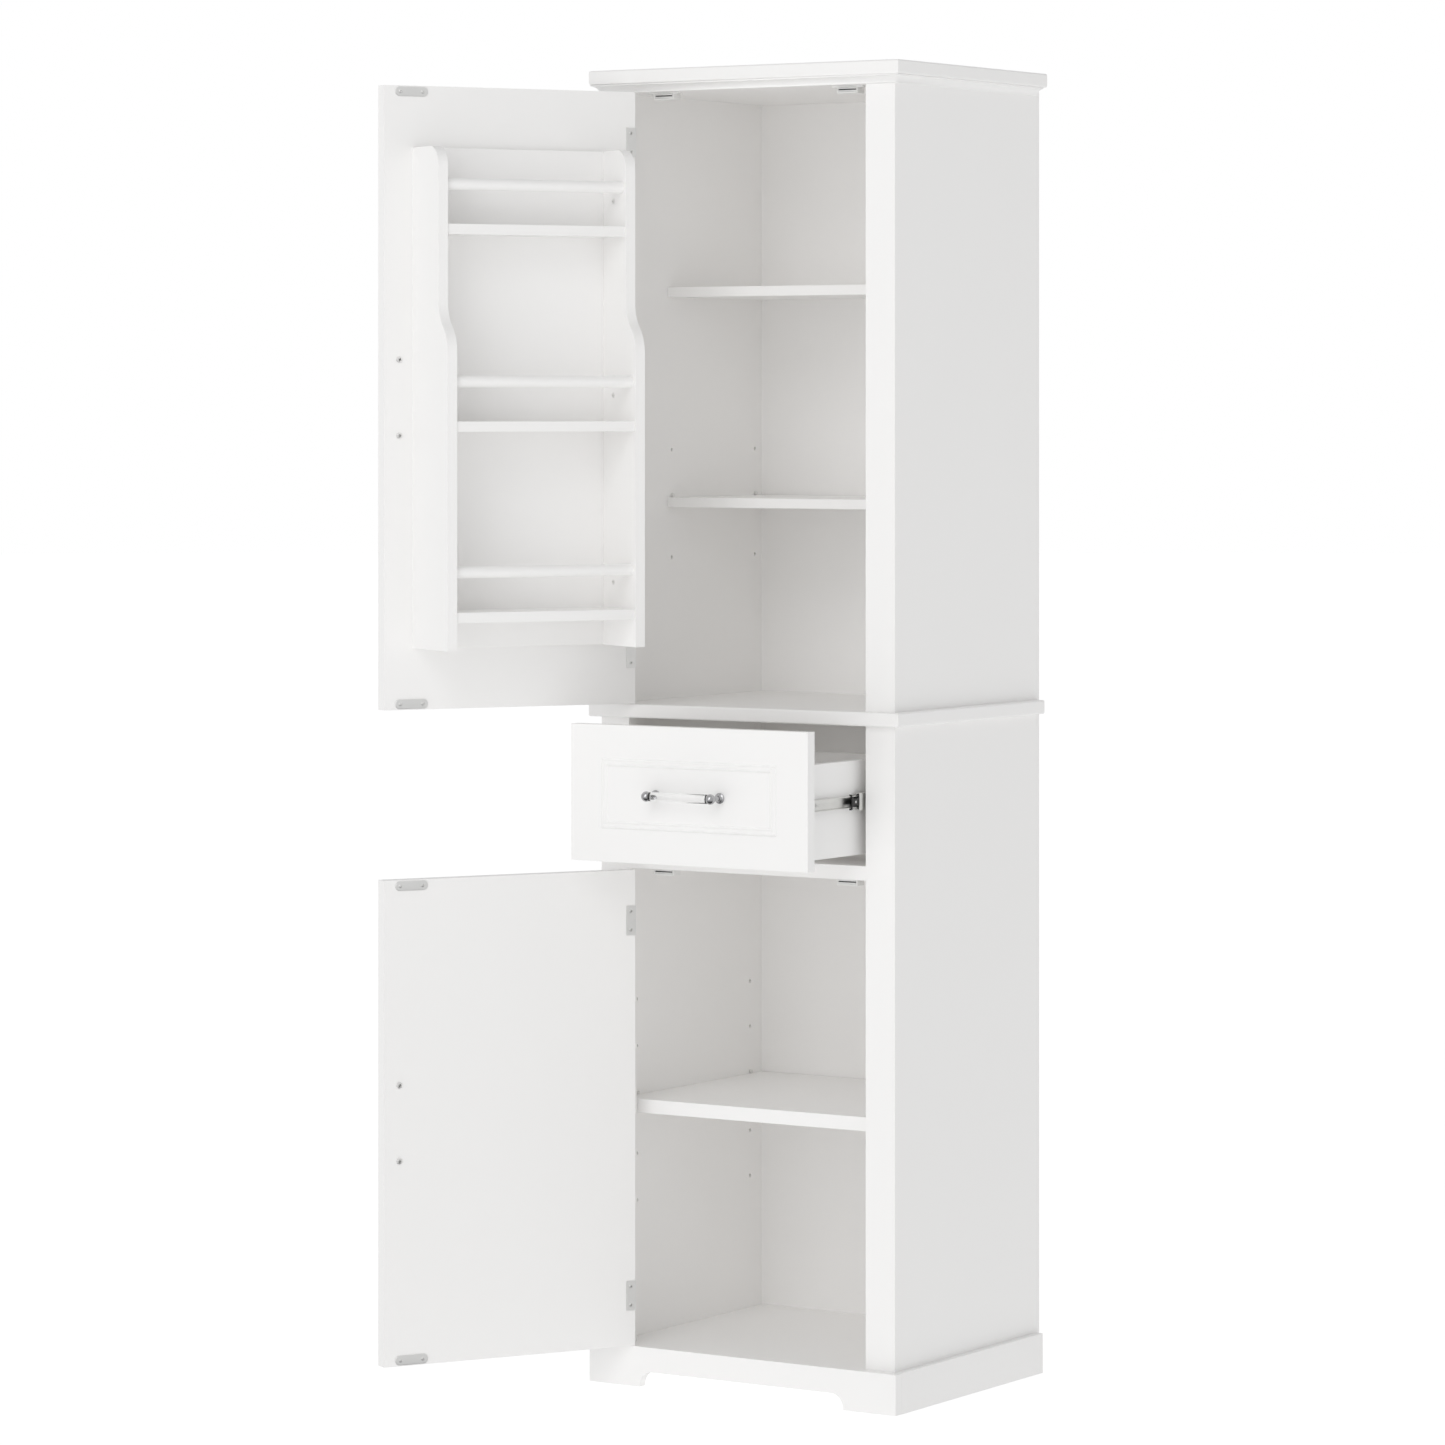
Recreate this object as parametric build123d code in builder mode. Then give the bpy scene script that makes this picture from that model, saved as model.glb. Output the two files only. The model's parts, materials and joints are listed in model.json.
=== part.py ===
from build123d import *
import os
from math import cos, radians, sin

# A tall pantry cabinet on a plinth. The upper compartment has a door with a storage rack, a fixed
# shelf and an adjustable shelf; a drawer runs under the waist board; the lower compartment has a
# plain door and an adjustable shelf. Both doors are hinged on the left.
# Millimetres. X runs to the right, Y towards the wall and Z up. The origin is on the floor, at the
# middle of the back panel's outer face.

os.makedirs("parts", exist_ok=True)

# ---- Carcass -------------------------------------------------------------------------------------
overall_height = 1700
body_width = 445
side_depth = 358  # from the stiles' faces to the rear edges of the side panels
panel = 18  # boards of the carcass and the doors
back_thickness = 7
stile_width = 43
plinth_height = 52
lower_opening_height = 615.5
drawer_opening_height = 177
sub_top_thickness = 11
top_overhang = 12
waist_overhang = 12
board_rounding = 2.5  # rounded front and side edges of the top and the waist board

# ---- Cove moulding under the top -----------------------------------------------------------------
cove_projection = 10.5
cove_lip = 2  # flat bead at the foot and at the head of the hollow
cove_foot_direction = (0.25, 1)  # of the hollow as it leaves the foot

# ---- Plinth --------------------------------------------------------------------------------------
plinth_front_thickness = 14
plinth_side_thickness = 9.5
plinth_foot_width = 78
plinth_cut_height = 20
plinth_cut_radius = 18

# ---- Shelves -------------------------------------------------------------------------------------
fixed_shelf_z = 1408.5
upper_shelf_z = 1132
upper_shelf_thickness = 13
upper_shelf_setback = 128  # from the stiles' faces to the upper shelves' front edges
lower_shelf_z = 348.5
lower_shelf_gap = 2  # between the stiles' rear faces and the lower shelf's front edge
shelf_end_gap = 0.4
shelf_rear_gap = 2

# Shelf pins sit in blind holes, and the adjustable shelves drop over them with grooves in their ends.
pin_radius = 2.5
pin_projection = 8
pin_hole_depth = 10
pin_clearance = 0.05
pin_groove_clearance = 0.1
upper_pin_rise = 5  # from an adjustable shelf's underside to its pins' centres
lower_pin_rise = 11.5
retainer_projection = 3  # pins over a shelf's ends, which hold it down
retainer_clearance = 0.2
upper_pin_setbacks = (138, 341)
lower_pin_setbacks = (56, 329)
upper_pin_offsets = (-71, 0, 71)
lower_pin_offsets = (-131, -70, 0, 70, 131)

# ---- Doors ---------------------------------------------------------------------------------------
door_side_gap = 2
door_end_gap = 0.8
door_open_angle = 119.2
groove_width = 11  # routed groove that frames each front, with a rounded bead along its middle
groove_depth = 1.8
bead_width = 5
bead_drop = 0.5  # from the face down to the bead's crown
groove_side_margin = 46
groove_end_margin = 42

# ---- Hinges --------------------------------------------------------------------------------------
hinge_height = 38
hinge_end_distance = 65  # from a door's end to its hinge's centre
hinge_stand_off = 3.3  # from the stile's face out to the pin's axis
knuckle_radius = 3
hinge_pin_radius = 1.25
hinge_pin_clearance = 0.05
leaf_thickness = 0.9
leaf_width = 13
leaf_screw_spacing = 24
middle_knuckle_height = 12.6
knuckle_gap = 0.3

# ---- Magnetic catches and strike plates ----------------------------------------------------------
strike_length = 45
strike_height = 12
strike_thickness = 1.2
strike_corner_radius = 4.8
strike_from_free_edge = 38
strike_from_end = 7.5
strike_screw_spacing = 31
catch_width = 30
catch_height = 9.5
catch_depth = 17
catch_air_gap = 0.4
catch_ear_length = 8
catch_ear_thickness = 2
catch_ear_depth = 9
pole_width = 26
pole_thickness = 1.4
pole_depth = 8
pole_projection = 1
magnet_thickness = 3
magnet_recess = 1
magnet_clearance = 0.1

# ---- Handles: a clear rod between two balls on posts -----------------------------------------------
handle_spacing = 96
handle_stand_off = 22
handle_ball_radius = 6.6
handle_rod_radius = 5.75
handle_rod_end = 4.8  # from a ball's centre to the rod's end face
handle_base_radius = 6.8
handle_base_height = 4
handle_post_radius = 3.4
door_handle_from_free_edge = 21

# ---- Screws --------------------------------------------------------------------------------------
handle_screw_radius = 2
handle_screw_grip = 8  # thread inside a handle post
handle_screw_head_radius = 4
handle_screw_head_height = 2.2
small_screw_radius = 1.2
small_screw_length = 9
small_screw_head_radius = 2.4
small_screw_head_height = 1
countersink_depth = 1.2
screw_clearance = 0.1

# ---- Drawer --------------------------------------------------------------------------------------
drawer_front_thickness = 16
drawer_side_gap = 1.5
drawer_end_gap = 1.5
drawer_pull = 135  # how far the drawer stands out of the cabinet
drawer_side_thickness = 12
drawer_box_depth = 245
drawer_box_height = 119
drawer_box_rise = 12.5  # from the drawer front's lower edge to the box
drawer_bottom_thickness = 5
drawer_bottom_rise = 12
drawer_groove_depth = 5
drawer_groove_clearance = 0.15

# ---- Drawer slides: three members and two ball cages a side -----------------------------------------
slide_width = 12.5
slide_length = 250
slide_rise = 82  # from the divider's top to the slides' centre line
slide_sheet = 1
slide_flange_depth = 8
slide_web_step = 2.6  # between the webs of the outer and the middle member
inner_half_height = 7.5
ball_radius = 1.15
ball_clearance = 0.05
outer_ball_offset = 2.8  # from the middle member's web to a ball's centre
inner_ball_offset = 4.4
ball_count = 6
slide_gap = 2  # between the stiles' rear faces and the closed slides' front ends
middle_length = 200
middle_setback = 57
bumper_length = 22
bumper_waist = 7.5  # height of its narrow middle
bumper_seat = 4  # how far a bumper sits inside the middle member
bumper_thickness = 1.3
bumper_clearance = 0.2
cage_sheet = 0.5
cage_length = 80
outer_cage_setback = 95
inner_cage_setback = 118
outer_cage_ratio = 0.25  # travel of each part, as a share of the drawer's
middle_ratio = 0.5
inner_cage_ratio = 0.75
slide_screw_insets = (16, 120)
spacer_half_height = 20
spacer_length = 252

# ---- Rack on the upper door ------------------------------------------------------------------------
rack_board = 13
rack_width = 276
rack_z = 959
rack_height = 633
rack_upper_depth = 78
rack_lower_depth = 105
rack_step_z = 1333  # where the sides start to narrow
rack_step_height = 63
rack_corner_radius = 26
rack_shelf_tops = {"bottom": 1007, "middle": 1246, "top": 1494}
rack_shelf_setback = 2
rack_rail_radius = 7.5
rack_rail_rise = 50
rack_rail_setback = 13
rack_screw_rise = 33
rack_screw_setback = 42
rack_screw_head_radius = 3.6

# ---- Levels and planes that follow from the sizes --------------------------------------------------
back_y = -back_thickness
front_y = back_y - side_depth
frame_y = front_y + panel
half_body = body_width / 2
half_opening = half_body - stile_width
half_inside = half_body - panel
divider_z = plinth_height + lower_opening_height
drawer_floor_z = divider_z + panel
waist_z = drawer_floor_z + drawer_opening_height
upper_floor_z = waist_z + panel
top_z = overall_height - panel
ceiling_z = top_z - sub_top_thickness
door_width = 2 * half_opening - 2 * door_side_gap

hinge_axis = Plane(origin=(-half_opening + door_side_gap / 2, front_y - hinge_stand_off, 0))
open_x = cos(radians(door_open_angle))
open_y = -sin(radians(door_open_angle))
# The doors' own planes: the origin is on the hinge axis, X runs along the door and Y into its thickness.
door_plane = Plane(origin=hinge_axis.origin, x_dir=(open_x, open_y, 0), z_dir=(0, 0, 1))
door_face = hinge_stand_off
door_back = door_face + panel
door_edge = door_side_gap / 2
door_free_edge = door_edge + door_width
rack_x = door_edge + (door_width - rack_width) / 2
drawer_plane = Plane(origin=(0, front_y - drawer_pull, 0))
slide_z = drawer_floor_z + slide_rise
slide_setback = panel + slide_gap


inwards = (Align.CENTER, Align.CENTER, Align.MAX)
outwards = (Align.CENTER, Align.CENTER, Align.MIN)


def save(piece, label):
    piece.part.label = label
    export_step(piece.part, f"parts/{label}.step")


def block(x0, x1, y0, y1, z0, z1, mode=Mode.ADD):
    """A box between two corners, in the workplane of the piece that is being built."""
    with Locations(((x0 + x1) / 2, (y0 + y1) / 2, (z0 + z1) / 2)):
        Box(abs(x1 - x0), abs(y1 - y0), abs(z1 - z0), mode=mode)


def board(label, x0, x1, y0, y1, z0, z1, pilot_holes=()):
    """A plain rectangular board of the carcass, with any pilot holes for small screws."""
    with BuildPart() as piece:
        block(x0, x1, y0, y1, z0, z1)
        screw_holes(pilot_holes, small_screw_radius)
    save(piece, label)


def screw_holes(places, radius, length=small_screw_length + screw_clearance):
    """Holes that go in along each place's -Z, in the workplane of the piece that is being built."""
    if places:
        with Locations(*places):
            Cylinder(radius + screw_clearance, length, align=inwards, mode=Mode.SUBTRACT)


def pan_screws(places, radius=small_screw_radius, length=small_screw_length,
               head_radius=small_screw_head_radius, head_height=small_screw_head_height):
    """Screws that go in along each place's -Z, with their heads standing on it."""
    with Locations(*places):
        Cylinder(radius, length, align=inwards)
        Cylinder(head_radius, head_height, align=outwards)


def countersunk(places, slack=0, mode=Mode.ADD):
    """Countersunk screws, or with slack their holes, that go in along each place's -Z from a flush head."""
    with Locations(*places):
        Cone(small_screw_radius + slack, small_screw_head_radius + slack, countersink_depth + slack,
             align=inwards, mode=mode)
        Cylinder(small_screw_radius + slack, small_screw_length + slack, align=inwards, mode=mode)


def upright(base, depth):
    """The plane that stands at a depth in base and faces forward: X along base, Y up."""
    return Plane(origin=base.from_local_coords((0, depth, 0)), x_dir=base.x_dir, z_dir=-base.y_dir)


def wall_plane(hand, x):
    """The plane of a side wall, with its normal pointing out of the cabinet; local X is hand * Y."""
    return Plane(origin=(hand * x, 0, 0), x_dir=(0, hand, 0), z_dir=(hand, 0, 0))


# ---- Carcass pieces --------------------------------------------------------------------------------
def rounded_slab(label, z0, overhang, rear_y):
    """A slab over the whole body with an overhang in front and at the sides, and rounded edges there."""
    with BuildPart() as slab:
        block(-half_body - overhang, half_body + overhang, front_y - overhang, rear_y, z0, z0 + panel)
        rear_edges = slab.edges().group_by(Axis.Y)[-1]
        exposed = slab.faces().sort_by(Axis.Z)[-1].edges() + slab.faces().sort_by(Axis.Z)[0].edges()
        fillet([edge for edge in exposed if edge not in rear_edges], board_rounding)
    save(slab, label)


def notched_board(label, z0, pilot_holes=()):
    """A full-depth board whose front edge shows between the stiles and which widens behind them."""
    with BuildPart() as piece:
        block(-half_inside, half_inside, frame_y, back_y, z0, z0 + panel)
        block(-half_opening, half_opening, front_y, frame_y, z0, z0 + panel)
        screw_holes(pilot_holes, small_screw_radius)
    save(piece, label)


def pin_places(setbacks, offsets, z):
    """The (Y, Z) places of the pin holes on one wall."""
    return [(front_y + setback, z + offset) for setback in setbacks for offset in offsets]


def side_panel(label, hand, z0, z1, holes):
    """A side panel with its blind shelf-pin holes; hand is -1 on the left and 1 on the right."""
    with BuildPart() as piece:
        block(hand * half_inside, hand * half_body, frame_y, back_y, z0, z1)
        with BuildSketch(wall_plane(hand, half_inside)):
            with Locations(*[(hand * y, z) for y, z in holes]):
                Circle(pin_radius + pin_clearance)
        extrude(amount=pin_hole_depth, mode=Mode.SUBTRACT)
    save(piece, label)


def stile_pair(label, z0, z1, leaf_screws):
    """The left and right stiles of a face frame. The left one is countersunk for the hinge screws."""
    with BuildPart() as piece:
        for hand in (-1, 1):
            block(hand * half_opening, hand * half_body, front_y, frame_y, z0, z1)
        countersunk(leaf_screws, slack=screw_clearance, mode=Mode.SUBTRACT)
    save(piece, label)


def adjustable_shelf(label, z0, thickness, setback, pin_rise, pin_setbacks):
    """A loose shelf with grooves in its ends that drop over the shelf pins."""
    half_shelf = half_inside - shelf_end_gap
    with BuildPart() as piece:
        block(-half_shelf, half_shelf, front_y + setback, back_y - shelf_rear_gap, z0, z0 + thickness)
        for hand in (-1, 1):
            for pin_setback in pin_setbacks:
                pin_y = front_y + pin_setback
                half_groove = pin_radius + pin_groove_clearance
                inner_x = half_inside - pin_projection - pin_clearance
                groove_top = z0 + pin_rise + half_groove
                block(hand * inner_x, hand * half_shelf, pin_y - half_groove, pin_y + half_groove,
                      z0, groove_top, mode=Mode.SUBTRACT)
    save(piece, label)


def hinge_heights(z0, height):
    """The heights of the centres of a door's two hinges."""
    return (z0 + hinge_end_distance, z0 + height - hinge_end_distance)


def frame_leaf_screws(heights, base=Plane.XY):
    """The screws of the frame leaves, placed in base, which go from the opening into the left stile."""
    x = -half_opening + leaf_thickness - base.origin.X
    y = front_y + leaf_width / 2 - base.origin.Y
    spread = leaf_screw_spacing / 2
    return [Plane(origin=(x, y, z + offset), z_dir=(1, 0, 0))
            for z in heights for offset in (-spread, spread)]


def catch_screws(z):
    """The screws of the two catches under a board, which go up into it from the catches' ears."""
    reach = (catch_width + catch_ear_length) / 2
    y = catch_y + catch_ear_depth / 2
    return [Plane(origin=(hand * catch_x + side * reach, y, z - catch_ear_thickness), z_dir=(0, 0, -1))
            for hand in (-1, 1) for side in (-1, 1)]


upper_door_z = upper_floor_z + door_end_gap
upper_door_height = ceiling_z - upper_floor_z - 2 * door_end_gap
lower_door_z = plinth_height + door_end_gap
lower_door_height = lower_opening_height - 2 * door_end_gap
upper_hinges = hinge_heights(upper_door_z, upper_door_height)
lower_hinges = hinge_heights(lower_door_z, lower_door_height)
catch_x = half_opening - door_side_gap - strike_from_free_edge
catch_y = frame_y + strike_thickness + catch_air_gap + pole_projection
upper_pin_z = upper_shelf_z + upper_pin_rise
lower_pin_z = lower_shelf_z + lower_pin_rise
upper_retainer_z = upper_shelf_z + upper_shelf_thickness + pin_radius + retainer_clearance
lower_retainer_z = lower_shelf_z + panel + pin_radius + retainer_clearance
upper_retainers = pin_places(upper_pin_setbacks, (0,), upper_retainer_z)
lower_retainers = pin_places(lower_pin_setbacks, (0,), lower_retainer_z)
upper_holes = pin_places(upper_pin_setbacks, upper_pin_offsets, upper_pin_z) + upper_retainers
lower_holes = pin_places(lower_pin_setbacks, lower_pin_offsets, lower_pin_z) + lower_retainers

rounded_slab("top_board", top_z, top_overhang, 0)
rounded_slab("waist_board", waist_z, waist_overhang, back_y)
board("sub_top", -half_body, half_body, front_y, back_y, ceiling_z, top_z, catch_screws(ceiling_z))
notched_board("drawer_divider", divider_z, catch_screws(divider_z))
notched_board("bottom_board", plinth_height - panel)
for hand, side_name in ((-1, "left"), (1, "right")):
    side_panel(f"upper_side_{side_name}", hand, upper_floor_z, ceiling_z, upper_holes)
    side_panel(f"lower_side_{side_name}", hand, 0, waist_z, lower_holes)
stile_pair("upper_stiles", upper_floor_z, ceiling_z, frame_leaf_screws(upper_hinges))
stile_pair("lower_stiles", 0, waist_z, frame_leaf_screws(lower_hinges))
board("upper_back", -half_body, half_body, back_y, 0, waist_z + panel / 2, top_z)
board("lower_back", -half_body, half_body, back_y, 0, 0, waist_z + panel / 2)
board("fixed_shelf", -half_inside, half_inside, front_y + upper_shelf_setback, back_y,
      fixed_shelf_z, fixed_shelf_z + upper_shelf_thickness)
adjustable_shelf("upper_shelf", upper_shelf_z, upper_shelf_thickness, upper_shelf_setback,
                 upper_pin_rise, upper_pin_setbacks)
adjustable_shelf("lower_shelf", lower_shelf_z, panel, panel + lower_shelf_gap,
                 lower_pin_rise, lower_pin_setbacks)

with BuildPart() as shelf_pins:
    upper_pins = pin_places(upper_pin_setbacks, (0,), upper_pin_z)
    lower_pins = pin_places(lower_pin_setbacks, (0,), lower_pin_z)
    for hand in (-1, 1):
        with BuildSketch(wall_plane(hand, half_inside - pin_projection)):
            with Locations(*[(hand * y, z) for y, z in upper_pins + lower_pins]):
                Circle(pin_radius)
        extrude(amount=pin_projection + pin_hole_depth - pin_clearance)
        with BuildSketch(wall_plane(hand, half_inside - retainer_projection)):
            with Locations(*[(hand * y, z) for y, z in upper_retainers + lower_retainers]):
                Circle(pin_radius)
        extrude(amount=retainer_projection + pin_hole_depth - pin_clearance)
save(shelf_pins, "shelf_pins")

# The cove's section, from the wall of the body outwards (X) and up (Y), swept along each side.
with BuildSketch(mode=Mode.PRIVATE) as cove_section:
    with BuildLine():
        hollow_foot = (cove_lip, cove_lip)
        hollow_head = (cove_projection, sub_top_thickness - cove_lip)
        Polyline(hollow_foot, (cove_lip, 0), (0, 0), (0, sub_top_thickness),
                 (cove_projection, sub_top_thickness), hollow_head)
        TangentArc(hollow_foot, hollow_head, tangent=cove_foot_direction)
    make_face()

with BuildPart() as cove_moulding:
    with BuildLine() as cove_path:
        Polyline((-half_body, back_y, ceiling_z), (-half_body, front_y, ceiling_z),
                 (half_body, front_y, ceiling_z), (half_body, back_y, ceiling_z))
    section_plane = Plane(origin=(-half_body, back_y, ceiling_z), x_dir=(-1, 0, 0), z_dir=(0, 1, 0))
    sweep(section_plane * cove_section.sketch, path=cove_path.wires()[0], transition=Transition.RIGHT)
    for hand in (-1, 1):
        split(bisect_by=Plane(origin=(hand * half_body, front_y, 0), z_dir=(hand, 1, 0)), keep=Keep.BOTH)
save(cove_moulding, "cove_moulding")

# ---- Plinth ----------------------------------------------------------------------------------------
plinth_half = half_body + plinth_side_thickness
with BuildPart() as plinth_front:
    with BuildSketch(Plane.XZ.offset(-front_y)):
        with Locations((0, plinth_height / 2)):
            Rectangle(2 * plinth_half, plinth_height)
        with BuildSketch(mode=Mode.SUBTRACT) as cut_out:
            Rectangle(2 * (plinth_half - plinth_foot_width), 2 * plinth_cut_height)
            fillet(cut_out.vertices(), plinth_cut_radius)
    extrude(amount=plinth_front_thickness)
save(plinth_front, "plinth_front")

with BuildPart() as plinth_sides:
    for hand in (-1, 1):
        block(hand * half_body, hand * plinth_half, front_y, back_y, 0, plinth_height)
save(plinth_sides, "plinth_sides")


# ---- Hinges ----------------------------------------------------------------------------------------
def hinge_leaves(label, base, heights, hand, knuckles, wraps):
    """The leaves of several hinges on the hinge axis of base: hand -1 lies on the stile, 1 on the door.

    knuckles gives the spans of the leaf's barrels, measured from the hinge's centre. A leaf that
    wraps goes round the door's edge onto its inner face.
    """
    outer_x = hand * door_edge
    inner_x = outer_x - hand * leaf_thickness
    half_height = hinge_height / 2
    end_y = door_back + leaf_thickness if wraps else door_face + leaf_width
    with BuildPart(base) as leaves:
        for z in heights:
            block(inner_x, outer_x, knuckle_radius + knuckle_gap, end_y, z - half_height, z + half_height)
            if wraps:
                block(inner_x, outer_x + leaf_width, door_back, end_y, z - half_height, z + half_height)
            for low, high in knuckles:
                block(inner_x, outer_x, 0, knuckle_radius + knuckle_gap, z + low, z + high)
                with Locations((0, 0, z + (low + high) / 2)):
                    Cylinder(knuckle_radius, high - low)
            with Locations((0, 0, z)):
                Cylinder(hinge_pin_radius + hinge_pin_clearance, hinge_height, mode=Mode.SUBTRACT)
        if wraps:
            screw_holes(door_leaf_screws(heights), small_screw_radius)
        else:
            countersunk(frame_leaf_screws(heights, base), slack=screw_clearance, mode=Mode.SUBTRACT)
    save(leaves, label)


def door_leaf_screws(heights):
    """The screws of the door leaves, in the door's own plane, which go from its inner face into it."""
    x = door_edge + leaf_width / 2
    spread = leaf_screw_spacing / 2
    return [Plane(origin=(x, door_back + leaf_thickness, z + offset), z_dir=(0, 1, 0))
            for z in heights for offset in (-spread, spread)]


middle_end = middle_knuckle_height / 2
end_start = middle_end + knuckle_gap
middle_knuckle = ((-middle_end, middle_end),)
end_knuckles = ((-hinge_height / 2, -end_start), (end_start, hinge_height / 2))
hinge_leaves("frame_hinge_leaves", hinge_axis, upper_hinges + lower_hinges, -1, end_knuckles, wraps=False)
hinge_leaves("upper_door_hinge_leaves", door_plane, upper_hinges, 1, middle_knuckle, wraps=True)
hinge_leaves("lower_door_hinge_leaves", door_plane, lower_hinges, 1, middle_knuckle, wraps=True)

with BuildPart(hinge_axis) as hinge_pins:
    with Locations(*[(0, 0, z) for z in upper_hinges + lower_hinges]):
        Cylinder(hinge_pin_radius, hinge_height)
save(hinge_pins, "hinge_pins")


# ---- Magnetic catches ------------------------------------------------------------------------------
with BuildPart() as magnetic_catches:
    for board_z in (ceiling_z, divider_z):
        for hand in (-1, 1):
            centre = hand * catch_x
            half_catch = catch_width / 2
            half_pole = pole_width / 2 + magnet_clearance
            middle_z = board_z - catch_height / 2
            half_stack = magnet_thickness / 2 + pole_thickness + magnet_clearance
            block(centre - half_catch, centre + half_catch, catch_y, catch_y + catch_depth,
                  board_z - catch_height, board_z)
            block(centre - half_catch - catch_ear_length, centre + half_catch + catch_ear_length,
                  catch_y, catch_y + catch_ear_depth, board_z - catch_ear_thickness, board_z)
            block(centre - half_pole, centre + half_pole, catch_y, catch_y + pole_depth,
                  middle_z - half_stack, middle_z + half_stack, mode=Mode.SUBTRACT)
        screw_holes(catch_screws(board_z), small_screw_radius)
save(magnetic_catches, "magnetic_catches")

with BuildPart() as catch_magnets:
    for board_z in (ceiling_z, divider_z):
        for hand in (-1, 1):
            middle_z = board_z - catch_height / 2
            left, right = hand * catch_x - pole_width / 2, hand * catch_x + pole_width / 2
            rear_y = catch_y + pole_depth - magnet_clearance
            half_magnet = magnet_thickness / 2
            block(left, right, catch_y + magnet_recess, rear_y,
                  middle_z - half_magnet + magnet_clearance, middle_z + half_magnet - magnet_clearance)
            for side in (-1, 1):
                block(left, right, catch_y - pole_projection, rear_y,
                      middle_z + side * half_magnet, middle_z + side * (half_magnet + pole_thickness))
save(catch_magnets, "catch_magnets")


# ---- Handles ---------------------------------------------------------------------------------------
def handle(prefix, base):
    """A handle on a front; base has its origin at the handle's middle, X along it and Z outwards."""
    half_spacing = handle_spacing / 2
    half_rod = half_spacing - handle_rod_end
    with BuildPart(base) as rod:
        with Locations(Location((0, 0, handle_stand_off), (0, 90, 0))):
            Cylinder(handle_rod_radius, 2 * half_rod)
    save(rod, f"{prefix}_handle_rod")
    with BuildPart(base) as mounts:
        with Locations((-half_spacing, 0, 0), (half_spacing, 0, 0)):
            Cone(handle_base_radius, handle_post_radius, handle_base_height, align=outwards)
            Cylinder(handle_post_radius, handle_stand_off, align=outwards)
        with Locations((-half_spacing, 0, handle_stand_off), (half_spacing, 0, handle_stand_off)):
            Sphere(handle_ball_radius)
        with Locations(Location((0, 0, handle_stand_off), (0, 90, 0))):
            Cylinder(handle_ball_radius, 2 * half_rod, mode=Mode.SUBTRACT)
        with Locations((-half_spacing, 0, 0), (half_spacing, 0, 0)):
            Cylinder(handle_screw_radius + screw_clearance, handle_screw_grip + screw_clearance,
                     align=outwards, mode=Mode.SUBTRACT)
    save(mounts, f"{prefix}_handle_mounts")


def handle_screw_places(x, z, along_x, back):
    """The two handle screws, in the front's own plane, which go forward from its inner face."""
    half_spacing = handle_spacing / 2
    reach_x, reach_z = (half_spacing, 0) if along_x else (0, half_spacing)
    return [Plane(origin=(x + side * reach_x, back, z + side * reach_z), z_dir=(0, 1, 0))
            for side in (-1, 1)]


def handle_screws(places, thickness):
    pan_screws(places, handle_screw_radius, thickness + handle_screw_grip,
               handle_screw_head_radius, handle_screw_head_height)


# ---- Fronts ----------------------------------------------------------------------------------------
def frame_groove(centre, half_x, half_z):
    """Routes the beaded groove round centre, in the piece that is being built; Z of centre is outwards."""
    half_groove, half_bead = groove_width / 2, bead_width / 2
    with BuildLine(centre) as path:
        Polyline((0, half_z), (half_x, half_z), (half_x, -half_z), (-half_x, -half_z), (-half_x, half_z),
                 (0, half_z))
    with BuildSketch(Plane(origin=path.line @ 0, x_dir=centre.z_dir, z_dir=centre.x_dir)) as section:
        with BuildLine():
            Polyline((-groove_depth, half_bead), (-groove_depth, half_groove - groove_depth),
                     (groove_depth, half_groove + groove_depth), (groove_depth, -half_groove - groove_depth),
                     (-groove_depth, groove_depth - half_groove), (-groove_depth, -half_bead))
            ThreePointArc((-groove_depth, -half_bead), (-bead_drop, 0), (-groove_depth, half_bead))
        make_face()
    sweep(section.sketch, path=path.wires()[0], transition=Transition.RIGHT, mode=Mode.SUBTRACT)


def front(label, base, x0, x1, face, z0, z1, thickness, handle_places, pilot_holes=()):
    """A door or drawer front with a routed groove that frames its outer face, at depth face in base."""
    middle = upright(base, face).from_local_coords(((x0 + x1) / 2, (z0 + z1) / 2, 0))
    with BuildPart(base) as piece:
        block(x0, x1, face, face + thickness, z0, z1)
        frame_groove(Plane(origin=middle, x_dir=base.x_dir, z_dir=-base.y_dir),
                     (x1 - x0 - groove_width) / 2 - groove_side_margin,
                     (z1 - z0 - groove_width) / 2 - groove_end_margin)
        screw_holes(handle_places, handle_screw_radius, thickness)
        screw_holes(pilot_holes, small_screw_radius)
    save(piece, label)


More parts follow.
